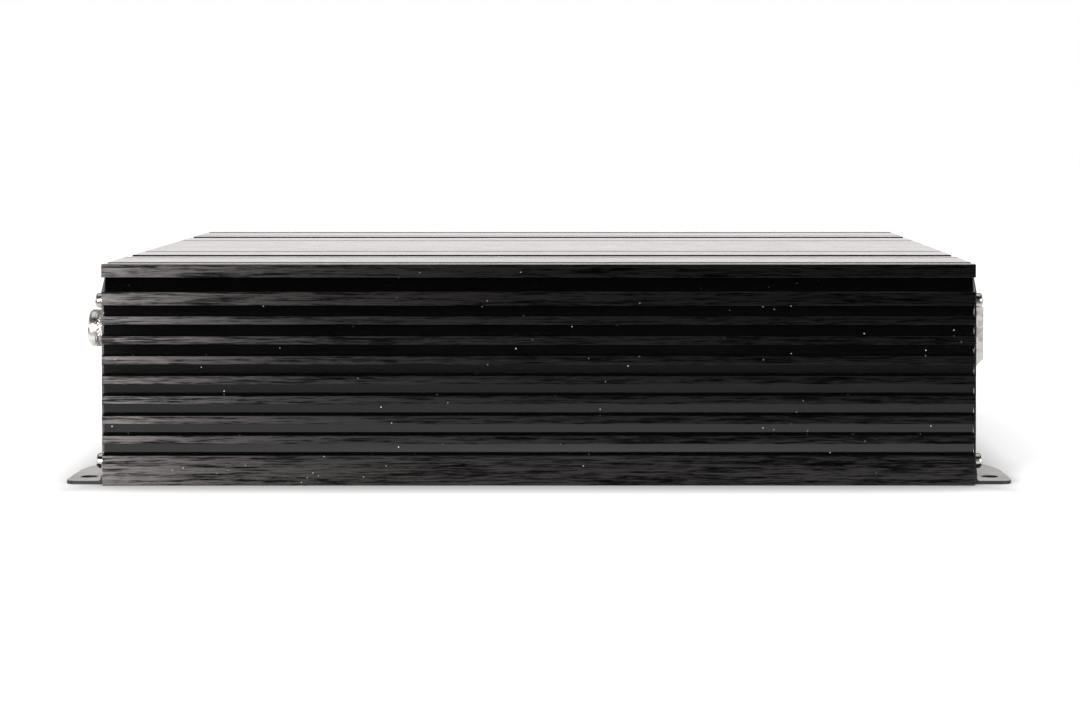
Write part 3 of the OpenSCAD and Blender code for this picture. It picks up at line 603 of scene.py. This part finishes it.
def makeExtrusion():
    # outer and inner outline as one closed loop round the wall, carried along X and capped at both ends
    outer, inner, radii = extrusionOutlines()
    loop = np.concatenate([outer, mirrored(outer), mirrored(inner), inner])
    outerRadii, innerRadii = radii[:len(outer)], radii[len(outer):]
    loopRadii = np.concatenate([outerRadii, outerRadii[::-1], innerRadii[::-1], innerRadii])
    outline = roundedOutline(loop * mm, loopRadii * mm, steps=3)
    low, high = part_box("heatsink_shell")
    ends = (low[0], high[0])
    rings = sweptAlongX(outline, ends, extrusion["endEdge"] * mm)
    rows, columns = rings.shape[:2]
    sides = gridFaces(rows, columns, closedColumns=True)
    cap = np.array(tessellate_polygon([[Vector((p[0], p[1], 0)) for p in rings[0][:, 1:]]]))
    faces = sides.tolist() + cap.tolist() + (cap[:, ::-1] + (rows - 1) * columns).tolist()
    piece = makeObject("finnedExtrusion", rings, faces, extrusion["smoothAngle"])
    turnOutward(piece)
    piece.data.set_sharp_from_angle(angle=math.radians(extrusion["smoothAngle"]))
    weightNormals(piece)
    return finishPiece(piece, "amplifier", materials["anodised_black"], ["heatsink_shell"])


makeExtrusion()
print("extrusion made")


refinedParts = {
    "input_end_plate": ("inputEndPlate", "amplifier", 0.28),
    "power_end_plate": ("powerEndPlate", "amplifier", 0.28),
    "bottom_cover": ("bottomCover", "amplifier", 0.2),
    "ground_terminal": ("groundTerminal", "amplifier", 0.22),
    "battery_terminal": ("batteryTerminal", "amplifier", 0.22),
    "remote_terminal": ("remoteTerminal", "amplifier", 0.18),
    "speaker_terminals": ("speakerTerminals", "amplifier", 0.18),
    "terminal_carrier": ("terminalCarrier", "amplifier", 0.2),
    "fuse_sockets": ("fuseSockets", "amplifier", 0.15),
    "remote_port": ("remotePort", "amplifier", 0.25),
    "phase_switch_slider": ("phaseSwitchSlider", "phase_switch", 0.25),
    "fuse_front": ("fuseFront", "fuse_front", 0.3),
    "fuse_middle": ("fuseMiddle", "fuse_middle", 0.3),
    "fuse_rear": ("fuseRear", "fuse_rear", 0.3),
}
for nodeName, (pieceName, bodyName, edge) in refinedParts.items():
    copied = refinedCopy(nodeName, pieceName, edge * mm)
    finishPiece(copied, bodyName, materials[slotOf[nodeName]], [nodeName])
print("sheet parts and mouldings made")


screwHead = {
    "radius": 2.2, "height": 2.3, "edge": 0.9, "crown": 0.06, "rimDrop": 0.05, "underside": (0.12, 0.15),
    "faceRows": 16, "rimRows": 7, "crossWidth": 0.34, "crossReach": 1.35, "crossDepth": 1.2, "segments": 96,
}
crossSoftness = {"side": 0.12 * mm, "end": 0.3 * mm, "taper": 0.45}


def crossDepth(radius, angle, look):
    # depth of a cross recess: full where the point is near one of two crossed lines and inside the reach,
    # with soft edges, and shallower away from the middle
    width, reach = look["crossWidth"] * mm, look["crossReach"] * mm
    near = np.minimum(np.abs(radius * np.cos(angle)), np.abs(radius * np.sin(angle)))
    inside = np.clip((width - near) / crossSoftness["side"], 0, 1)
    inside = inside * np.clip((reach - radius) / crossSoftness["end"], 0, 1)
    return look["crossDepth"] * mm * inside * (1 - crossSoftness["taper"] * radius / reach)


def panHead(centre, axis, look, turnAngle):
    # head surface: a crowned disc, whose height drops with the square of the radius, then a quarter-round
    # rim, with radius and height from the sine and cosine of the rim's angle, and a short step under it
    flat, faceRows = look["radius"] - look["edge"], look["faceRows"]
    rim = np.linspace(0, math.pi / 2, look["rimRows"] + 1)[1:]
    faceR = np.linspace(0, flat, faceRows)
    faceZ = look["height"] - look["crown"] * (faceR / look["radius"]) ** 2
    rimR = flat + look["edge"] * np.sin(rim)
    rimZ = look["height"] - look["rimDrop"] - look["edge"] * (1 - np.cos(rim))
    underZ, underIn = look["underside"]
    r = np.concatenate([faceR, rimR, [look["radius"], look["radius"] - underIn]])
    z = np.concatenate([faceZ, rimZ, [underZ, 0.0]])
    profile = np.stack([z, r], 1)

    def cross(radius, along, angle):
        return radius, along - crossDepth(radius, angle + turnAngle, look)

    return revolved(profile * mm, look["segments"], centre, axis, cross)


def makeEndScrews():
    # pan-head screws at the four corners of both end plates, in one piece; each is turned at random
    low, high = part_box("end_plate_screws")
    radius, height = screwHead["radius"] * mm, screwHead["height"] * mm
    verts, faces, count = [], [], 0
    for side in (-1, 1):
        for y in (radius - high[1], high[1] - radius):
            for z in (low[2] + radius, high[2] - radius):
                place = (side * (high[0] - height), y, z)
                rings = panHead(place, (side, 0, 0), screwHead, rng.uniform(0, 1.5))
                rows, columns = rings.shape[:2]
                verts.append(rings.reshape(-1, 3))
                faces += gridFaces(rows, columns, closedColumns=True, start=count).tolist()
                faces.append(list(range(count + (rows - 1) * columns, count + rows * columns))[::-1])
                count += rows * columns
    piece = makeObject("endPlateScrews", np.concatenate(verts), faces, 50)
    turnOutward(piece, mergeDistance)
    return finishPiece(piece, "amplifier", materials["nickel_screw"], ["end_plate_screws"])


makeEndScrews()
print("screws made")


knobLook = {
    "segments": 240, "skirtShare": 0.5, "noseRadius": 1.25, "teeth": 34, "toothDepth": 0.28,
    "toothWidth": 0.28, "spiral": 1.1, "chamfer": 0.2, "bore": 0.9, "skirtIn": 0.1, "barrelIn": 0.02,
    "grooveDepth": 0.45, "grooveWidth": 0.2, "grooveFoot": 0.35, "dishDepth": 0.25, "dishEdge": 0.18, "dishRows": 8,
    "skirtRows": 13, "notchWidth": 0.4, "notchFrom": 1.6, "notchDepth": 0.35,
}


def knobProfile(length, radius):
    # (distance, radius) in millimetres from the panel out: a chamfered skirt, a fine groove, a straight
    # barrel, a quarter-round nose and a face with a shallow dish
    k = knobLook
    skirt, nose, chamfer = length * k["skirtShare"], k["noseRadius"], k["chamfer"]
    skirtR, barrelR, grooveR = radius - k["skirtIn"], radius - k["barrelIn"], radius - k["grooveDepth"]
    rim = np.linspace(0, math.pi / 2, 8)[1:]
    t = [0, 0, chamfer] + list(np.linspace(chamfer, skirt - chamfer, k["skirtRows"] + 1)[1:]) + [skirt]
    r = [radius - k["bore"], radius - chamfer * 2, skirtR] + [skirtR] * k["skirtRows"] + [grooveR]
    t += [skirt + k["grooveWidth"], skirt + k["grooveFoot"], length - nose]
    r += [grooveR, barrelR, barrelR]
    t += list(length - nose + nose * np.sin(rim))
    r += list(barrelR - nose + nose * np.cos(rim))
    faceR = radius - nose - 0.3
    t += [length, length - k["dishEdge"]] + [length - k["dishDepth"]] * k["dishRows"]
    r += [faceR, faceR - 0.2] + list(np.linspace(faceR - 0.4, 0, k["dishRows"]))
    return np.stack([t, r], 1)


def makeKnob(name, node, body):
    # the profile turned round X; the knurl is two crossed spirals, each cut where the tooth phase plus or
    # minus spiral times distance is near a half, and the nose has a pointer notch
    low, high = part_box(node)
    length, radius = high[0] - low[0], (high[1] - low[1]) / 2
    centre = nodeCentre(node)
    k = knobLook
    skirt, chamfer = length * k["skirtShare"], k["chamfer"] * mm
    profile = knobProfile(length / mm, radius / mm) * mm

    def knurl(ra, al, angle):
        inSkirt = np.clip((al - chamfer) / chamfer, 0, 1) * np.clip((skirt - chamfer - al) / chamfer, 0, 1)
        phase = al / mm * k["spiral"]
        tooth = angle * k["teeth"] / (2 * math.pi)
        left = np.abs(np.mod(tooth + phase, 1) - 0.5)
        right = np.abs(np.mod(tooth - phase, 1) - 0.5)
        cut = np.maximum(0, k["toothWidth"] - np.minimum(left, right)) / k["toothWidth"]
        ra = ra - cut * inSkirt * k["toothDepth"] * mm
        x, y = ra * np.cos(angle), ra * np.sin(angle)
        onNose = al > length - k["noseRadius"] * 0.9 * mm
        notch = (np.abs(x) < k["notchWidth"] * mm) & (y > k["notchFrom"] * mm) & onNose
        return ra, al - notch * k["notchDepth"] * mm

    rings = revolved(profile, k["segments"], (high[0], centre[1], centre[2]), (-1, 0, 0), knurl)
    rows, columns = rings.shape[:2]
    faces = gridFaces(rows, columns, closedColumns=True).tolist()
    faces.append(list(range(columns)))
    piece = makeObject(name, rings, faces, 40)
    turnOutward(piece, mergeDistance)
    piece.data.set_sharp_from_angle(angle=math.radians(40))
    return finishPiece(piece, body, materials["knob_nickel"], [node])


for control in ("gain", "lowpass", "subsonic", "bass_boost"):
    label = control.replace("_b", "B")
    makeKnob(label + "Knob", control + "_knob", control + "_control")
print("knobs made")


def turnedPart(name, body, slot, nodes, profile, places, axis, wave=None, looped=False, segments=64):
    # the same turned profile at each place, joined in one piece; a looped profile closes on itself
    verts, faces, count = [], [], 0
    for place in places:
        rings = revolved(np.asarray(profile) * mm, segments, place, axis, wave)
        rows, columns = rings.shape[:2]
        verts.append(rings.reshape(-1, 3))
        faces += gridFaces(rows, columns, looped, True, count).tolist()
        count += rows * columns
    piece = makeObject(name, np.concatenate(verts), faces, 40)
    turnOutward(piece, mergeDistance)
    piece.data.set_sharp_from_angle(angle=math.radians(40))
    return finishPiece(piece, body, materials[slot], nodes)


phono = {
    "radius": 4.15, "groove": (2.0, 2.9), "grooveDepth": 0.22, "lip": 0.22, "hole": 1.9, "bore": 1.6,
    "boreDepth": 10.0, "wall": 0.8,
}


def makePhonoSockets():
    # sleeve: a tube with a rounded lip and one groove; insulator: a ring with a stepped face; contact: a
    # tube with a flared mouth and a closed bore; the places come from the sleeves' box less one radius
    low, high = [np.array(corner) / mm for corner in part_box("rca_sleeves")]
    inLow, inHigh = [np.array(corner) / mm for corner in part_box("rca_insulators")]
    pinLow, pinHigh = [np.array(corner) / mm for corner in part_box("rca_contacts")]
    outer, length = phono["radius"], high[0] - low[0]
    inner = outer - phono["wall"]
    places = [(y, z) for y in (low[1] + outer, high[1] - outer) for z in (low[2] + outer, high[2] - outer)]
    first, last = phono["groove"]
    cut, lip = phono["grooveDepth"], phono["lip"]
    sleeve = [(0.0, inner + lip), (0.0, outer - lip), (0.07, outer - lip * 0.3), (lip, outer), (first, outer),
              (first + 0.15, outer - cut), (last - 0.15, outer - cut), (last, outer), (length, outer),
              (length, inner), (lip, inner), (0.07, inner + lip * 0.3)]
    turnedPart("phonoSleeves", "amplifier", slotOf["rca_sleeves"], ["rca_sleeves"], sleeve,
               [(low[0] * mm, y * mm, z * mm) for y, z in places], (1, 0, 0), looped=True)
    ringOut, ringLength, hole = inner - 0.05, inHigh[0] - inLow[0], phono["hole"]
    insulator = [(0.25, hole), (0.0, hole + 0.25), (0.0, 2.6), (0.35, 2.7), (0.35, ringOut - 0.3),
                 (0.5, ringOut), (ringLength, ringOut), (ringLength, hole)]
    turnedPart("phonoInsulators", "amplifier", slotOf["rca_insulators"], ["rca_insulators"], insulator,
               [(inLow[0] * mm, y * mm, z * mm) for y, z in places], (1, 0, 0), looped=True)
    pinOut, pinLength, bore = hole - 0.05, pinHigh[0] - pinLow[0], phono["bore"]
    depth = phono["boreDepth"]
    contact = [(depth, 0.0), (depth, bore), (0.25, bore), (0.0, bore + 0.1), (0.0, pinOut - 0.07),
               (0.1, pinOut), (pinLength, pinOut), (pinLength, 0.0)]
    turnedPart("phonoContacts", "amplifier", slotOf["rca_contacts"], ["rca_contacts"], contact,
               [(pinLow[0] * mm, y * mm, z * mm) for y, z in places], (1, 0, 0))


makePhonoSockets()


def makeLamp(name, node):
    # a lens: half a sphere on a straight stem, radius times sine and one less cosine of the dome angle
    low, high = [np.array(corner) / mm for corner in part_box(node)]
    radius, length = (high[1] - low[1]) / 2, high[0] - low[0]
    dome = np.linspace(0, math.pi / 2, 14)
    profile = [(radius * (1 - math.cos(a)), radius * math.sin(a)) for a in dome]
    profile += [(length, radius), (length, 0.0)]
    centre = nodeCentre(node)
    place = (low[0] * mm, centre[1], centre[2])
    turnedPart(name, "amplifier", slotOf[node], [node], profile, [place], (1, 0, 0),
               segments=40)


makeLamp("powerLamp", "power_led")
makeLamp("protectLamp", "protect_led")


grubScrew = {
    "hexShare": 0.6, "hexDepth": 2.2, "threadDepth": 0.14, "threadPitch": 0.5, "rowStep": 0.1, "edge": 0.25,
}


def makeGrubScrew(name, node, body):
    # a threaded rod with a hexagon socket: the socket's radius is its flat's distance over the cosine of the
    # angle from the flat; the thread is a triangle wave of height less pitch times angle over a full turn
    low, high = [np.array(corner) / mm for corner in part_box(node)]
    radius, length = (high[0] - low[0]) / 2, high[2] - low[2]
    look = grubScrew
    hexRadius = radius * look["hexShare"]
    t = np.arange(look["edge"], length - look["edge"], look["rowStep"])
    profile = [(look["hexDepth"], 0.0), (look["hexDepth"], hexRadius), (0.0, hexRadius),
               (0.0, radius - look["edge"])]
    profile += [(height, radius) for height in t] + [(length, radius - look["edge"]), (length, 0.0)]

    def shape(r, along, angle):
        flat = math.cos(math.pi / 6) / np.cos(np.mod(angle, math.pi / 3) - math.pi / 6)
        r = np.where(r < hexRadius * 1.01 * mm, r * flat, r)
        wave = np.abs(np.mod(along / mm / look["threadPitch"] - angle / (2 * math.pi), 1) - 0.5) * 2
        return np.where(r > (radius - 0.01) * mm, r - wave * look["threadDepth"] * mm, r), along

    centre = nodeCentre(node)
    place = (centre[0], centre[1], high[2] * mm)
    turnedPart(name, body, slotOf[node], [node], profile, [place], (0, 0, -1), shape,
               segments=48)


for clampName in ("ground", "remote", "battery", "speaker_minus", "speaker_plus"):
    pieceName = clampName.replace("_m", "M").replace("_p", "P") + "GrubScrew"
    makeGrubScrew(pieceName, clampName + "_screw", clampName + "_clamp_screw")


coverScrew = {
    "radius": 2.5, "neck": 1.2, "cone": 1.3, "crossWidth": 0.3, "crossReach": 1.5, "crossDepth": 0.8,
    "columns": 4,
}


def makeCoverScrews():
    # countersunk screws seen from below: a flat face with a cross recess, a cone and a straight shank
    low, high = [np.array(corner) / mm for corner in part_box("bottom_cover_screws")]
    look = coverScrew
    xs = np.linspace(low[0] + look["radius"], high[0] - look["radius"], look["columns"])
    ys = (low[1] + look["radius"], high[1] - look["radius"])
    places = [(x * mm, y * mm, low[2] * mm) for y in ys for x in xs]
    profile = [(0.0, r) for r in np.linspace(0, look["radius"] - 0.15, 24)]
    profile += [(0.08, look["radius"]), (look["cone"], look["neck"]), (high[2] - low[2], look["neck"]),
                (high[2] - low[2], 0.0)]

    def recess(r, along, angle):
        onFace = along < 0.05 * mm
        return r, along + np.where(onFace, crossDepth(r, angle + 0.6, look), 0)

    node = "bottom_cover_screws"
    turnedPart("coverScrews", "amplifier", slotOf[node], [node], profile, places,
               (0, 0, 1), recess, segments=72)


makeCoverScrews()
print("turned parts made")


studio = {
    # floorSheen, paleTo, nearGlow and paleStretch set the floor's painted reflection: its tone for reflections,
    # brighter near the object and fading out further away
    "floorReach": 6.0, "floorColour": (0.93, 0.93, 0.93), "floorSheen": 0.19, "paleTo": (0.2, 0.46),
    "nearGlow": (0.13, 0.18, 4.4, 1.0), "paleStretch": (0.45, 1.0, 1.0),
    "horizonGlow": 1.9, "darkCone": (-0.93, -0.45), "ceilingGlow": 0.25, "fill": 1.08,
    # painted shadow on the floor: the grey it darkens to and how far from the body's outline it reaches
    "paintedShadowReach": 0.022, "paintedShadowColour": (0.5, 0.5, 0.5),
    "warm": (1.0, 0.962, 0.952),
    "camera": (14.7 * mm, -829 * mm, 105 * mm), "tilt": 1.5, "lens": 84.57,
    "shift": (-0.0463, -0.1612), "sensor": 36,
}


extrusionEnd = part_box("heatsink_shell")[1][0]


def makeFloor():
    # a round pale floor just under the feet, darkened round the body's outline by a painted shadow; reflections see
    # it dimmer, with a painted glow close to the object, fading out away from the object
    reach = studio["floorReach"]
    angle = np.linspace(0, 2 * math.pi, 96, endpoint=False)
    radius = np.linspace(0, reach, 12)[1:, None]
    ringPoints = np.stack([radius * np.cos(angle), radius * np.sin(angle), np.zeros((11, 96))], -1)
    verts = np.concatenate([[[0, 0, 0]], ringPoints.reshape(-1, 3)])
    faces = gridFaces(11, 96, closedColumns=True, start=1).tolist()
    faces += [[0, 1 + (k + 1) % 96, 1 + k][::-1] for k in range(96)]
    floor = makeObject("paleFloor", verts + [0, 0, -0.02 * mm], faces, 180)
    material, tree, shader = startMaterial("paleFloorPaint", Roughness=0.9, Specular_IOR_Level=0.0)
    place = addNode(tree, "ShaderNodeTexCoord")
    stretched = addNode(tree, "ShaderNodeVectorMath", operation="MULTIPLY")
    tree.links.new(place.outputs["Object"], stretched.inputs[0])
    stretched.inputs[1].default_value = studio["paleStretch"]
    distance = addNode(tree, "ShaderNodeVectorMath", operation="LENGTH")
    tree.links.new(stretched.outputs[0], distance.inputs[0])
    # painted reflection: for reflections the floor's colour is a painted glow, strongest close to the object and
    # fading to black further out
    fade = rangeNode(tree, distance.outputs["Value"], *studio["paleTo"], 1.0, 0.0, smooth=False)
    near = rangeNode(tree, distance.outputs["Value"], *studio["nearGlow"], smooth=False)
    glow = mathNode(tree, "MULTIPLY", fade, near)
    path = addNode(tree, "ShaderNodeLightPath")
    dimmed = tuple(c * studio["floorSheen"] for c in studio["floorColour"])
    mirrored = mixColour(tree, glow, (0.0, 0.0, 0.0), dimmed)
    split = addNode(tree, "ShaderNodeSeparateXYZ")
    tree.links.new(place.outputs["Object"], split.inputs[0])
    # painted shadow: the floor's colour darkens towards grey near the body's outline, standing in for the shade at
    # its foot
    outX = mathNode(tree, "SUBTRACT", mathNode(tree, "ABSOLUTE", split.outputs[0]), extrusionEnd)
    outY = mathNode(tree, "SUBTRACT", mathNode(tree, "ABSOLUTE", split.outputs[1]), cadBox[1][1])
    contact = rangeNode(tree, mathNode(tree, "MAXIMUM", outX, outY), 0.0, studio["paintedShadowReach"])
    pale = mixColour(tree, contact, studio["paintedShadowColour"], studio["floorColour"])
    shade = mixColour(tree, path.outputs["Is Glossy Ray"], pale, mirrored)
    tree.links.new(shade, shader.inputs["Base Color"])
    floor.data.materials.append(material)
    return floor


def makeWorld():
    # white for the camera and soft fill for matt surfaces; reflections see a bright low band that
    # leaves out a dark cone in front, brightest at the horizon, and a dim ceiling towards the back
    world = bpy.data.worlds.new("studioSurround")
    bpy.context.scene.world = world
    world.use_nodes = True
    tree = world.node_tree
    background = tree.nodes["Background"]
    place = addNode(tree, "ShaderNodeTexCoord")
    split = addNode(tree, "ShaderNodeSeparateXYZ")
    tree.links.new(place.outputs["Generated"], split.inputs[0])
    allRound = rangeNode(tree, split.outputs[1], *studio["darkCone"])
    lowBand = rangeNode(tree, split.outputs[2], 0.2, 0.6, 1.0, 0.0)
    horizon = rangeNode(tree, split.outputs[2], 0.06, 0.13, studio["horizonGlow"], 1.0)
    band = mathNode(tree, "MULTIPLY", mathNode(tree, "MULTIPLY", allRound, lowBand), horizon)
    ceiling = rangeNode(tree, split.outputs[1], -0.4, 0.4, 0.0, studio["ceilingGlow"])
    reflected = mathNode(tree, "MAXIMUM", band, ceiling)
    path = addNode(tree, "ShaderNodeLightPath")
    glossy = mathNode(tree, "MULTIPLY", reflected, path.outputs["Is Glossy Ray"])
    fill = mathNode(tree, "MULTIPLY", path.outputs["Is Diffuse Ray"], studio["fill"])
    unseen = mathNode(tree, "MAXIMUM", glossy, fill)
    strength = mathNode(tree, "MAXIMUM", path.outputs["Is Camera Ray"], unseen)
    tint = mixColour(tree, path.outputs["Is Glossy Ray"], (1.0, 1.0, 1.0), studio["warm"])
    tree.links.new(tint, background.inputs["Color"])
    tree.links.new(strength, background.inputs["Strength"])


def makeAreaLight(name, place, target, size, power, shape="RECTANGLE", colour=(1, 1, 1)):
    light = bpy.data.lights.new(name, "AREA")
    light.shape = shape
    light.size, light.size_y = size
    light.energy = power
    light.color = colour
    holder = bpy.data.objects.new(name, light)
    holder.location = place
    holder.rotation_euler = (Vector(target) - Vector(place)).to_track_quat("-Z", "Y").to_euler()
    bpy.context.collection.objects.link(holder)
    return holder


def makeCamera():
    # a level camera turned down by the tilt; the shift moves the frame without turning the view
    data = bpy.data.cameras.new("viewCamera")
    data.lens = studio["lens"]
    data.sensor_width = studio["sensor"]
    holder = bpy.data.objects.new("viewCamera", data)
    holder.location = studio["camera"]
    holder.rotation_euler = (math.radians(90 - studio["tilt"]), 0, 0)
    data.shift_x, data.shift_y = studio["shift"]
    data.clip_start, data.clip_end = 0.05, 20
    bpy.context.collection.objects.link(holder)
    bpy.context.scene.camera = holder


makeFloor()
makeWorld()
makeAreaLight("leftSoftbox", (-0.6, -1.3, 0.18), (-0.1, -0.1, 0.03), (0.34, 0.34), 34, colour=studio["warm"])
makeAreaLight("rightCard", (0.9, -0.98, 0.17), (0.1, -0.1, 0.03), (0.5, 0.34), 11)
makeAreaLight("topSoftbox", (0.0, 0.1, 1.3), (0, 0, 0), (1.6, 1.2), 4)
makeCamera()
scene = bpy.context.scene
scene.view_settings.view_transform = "Standard"
scene.view_settings.look = "None"
print("stage made")
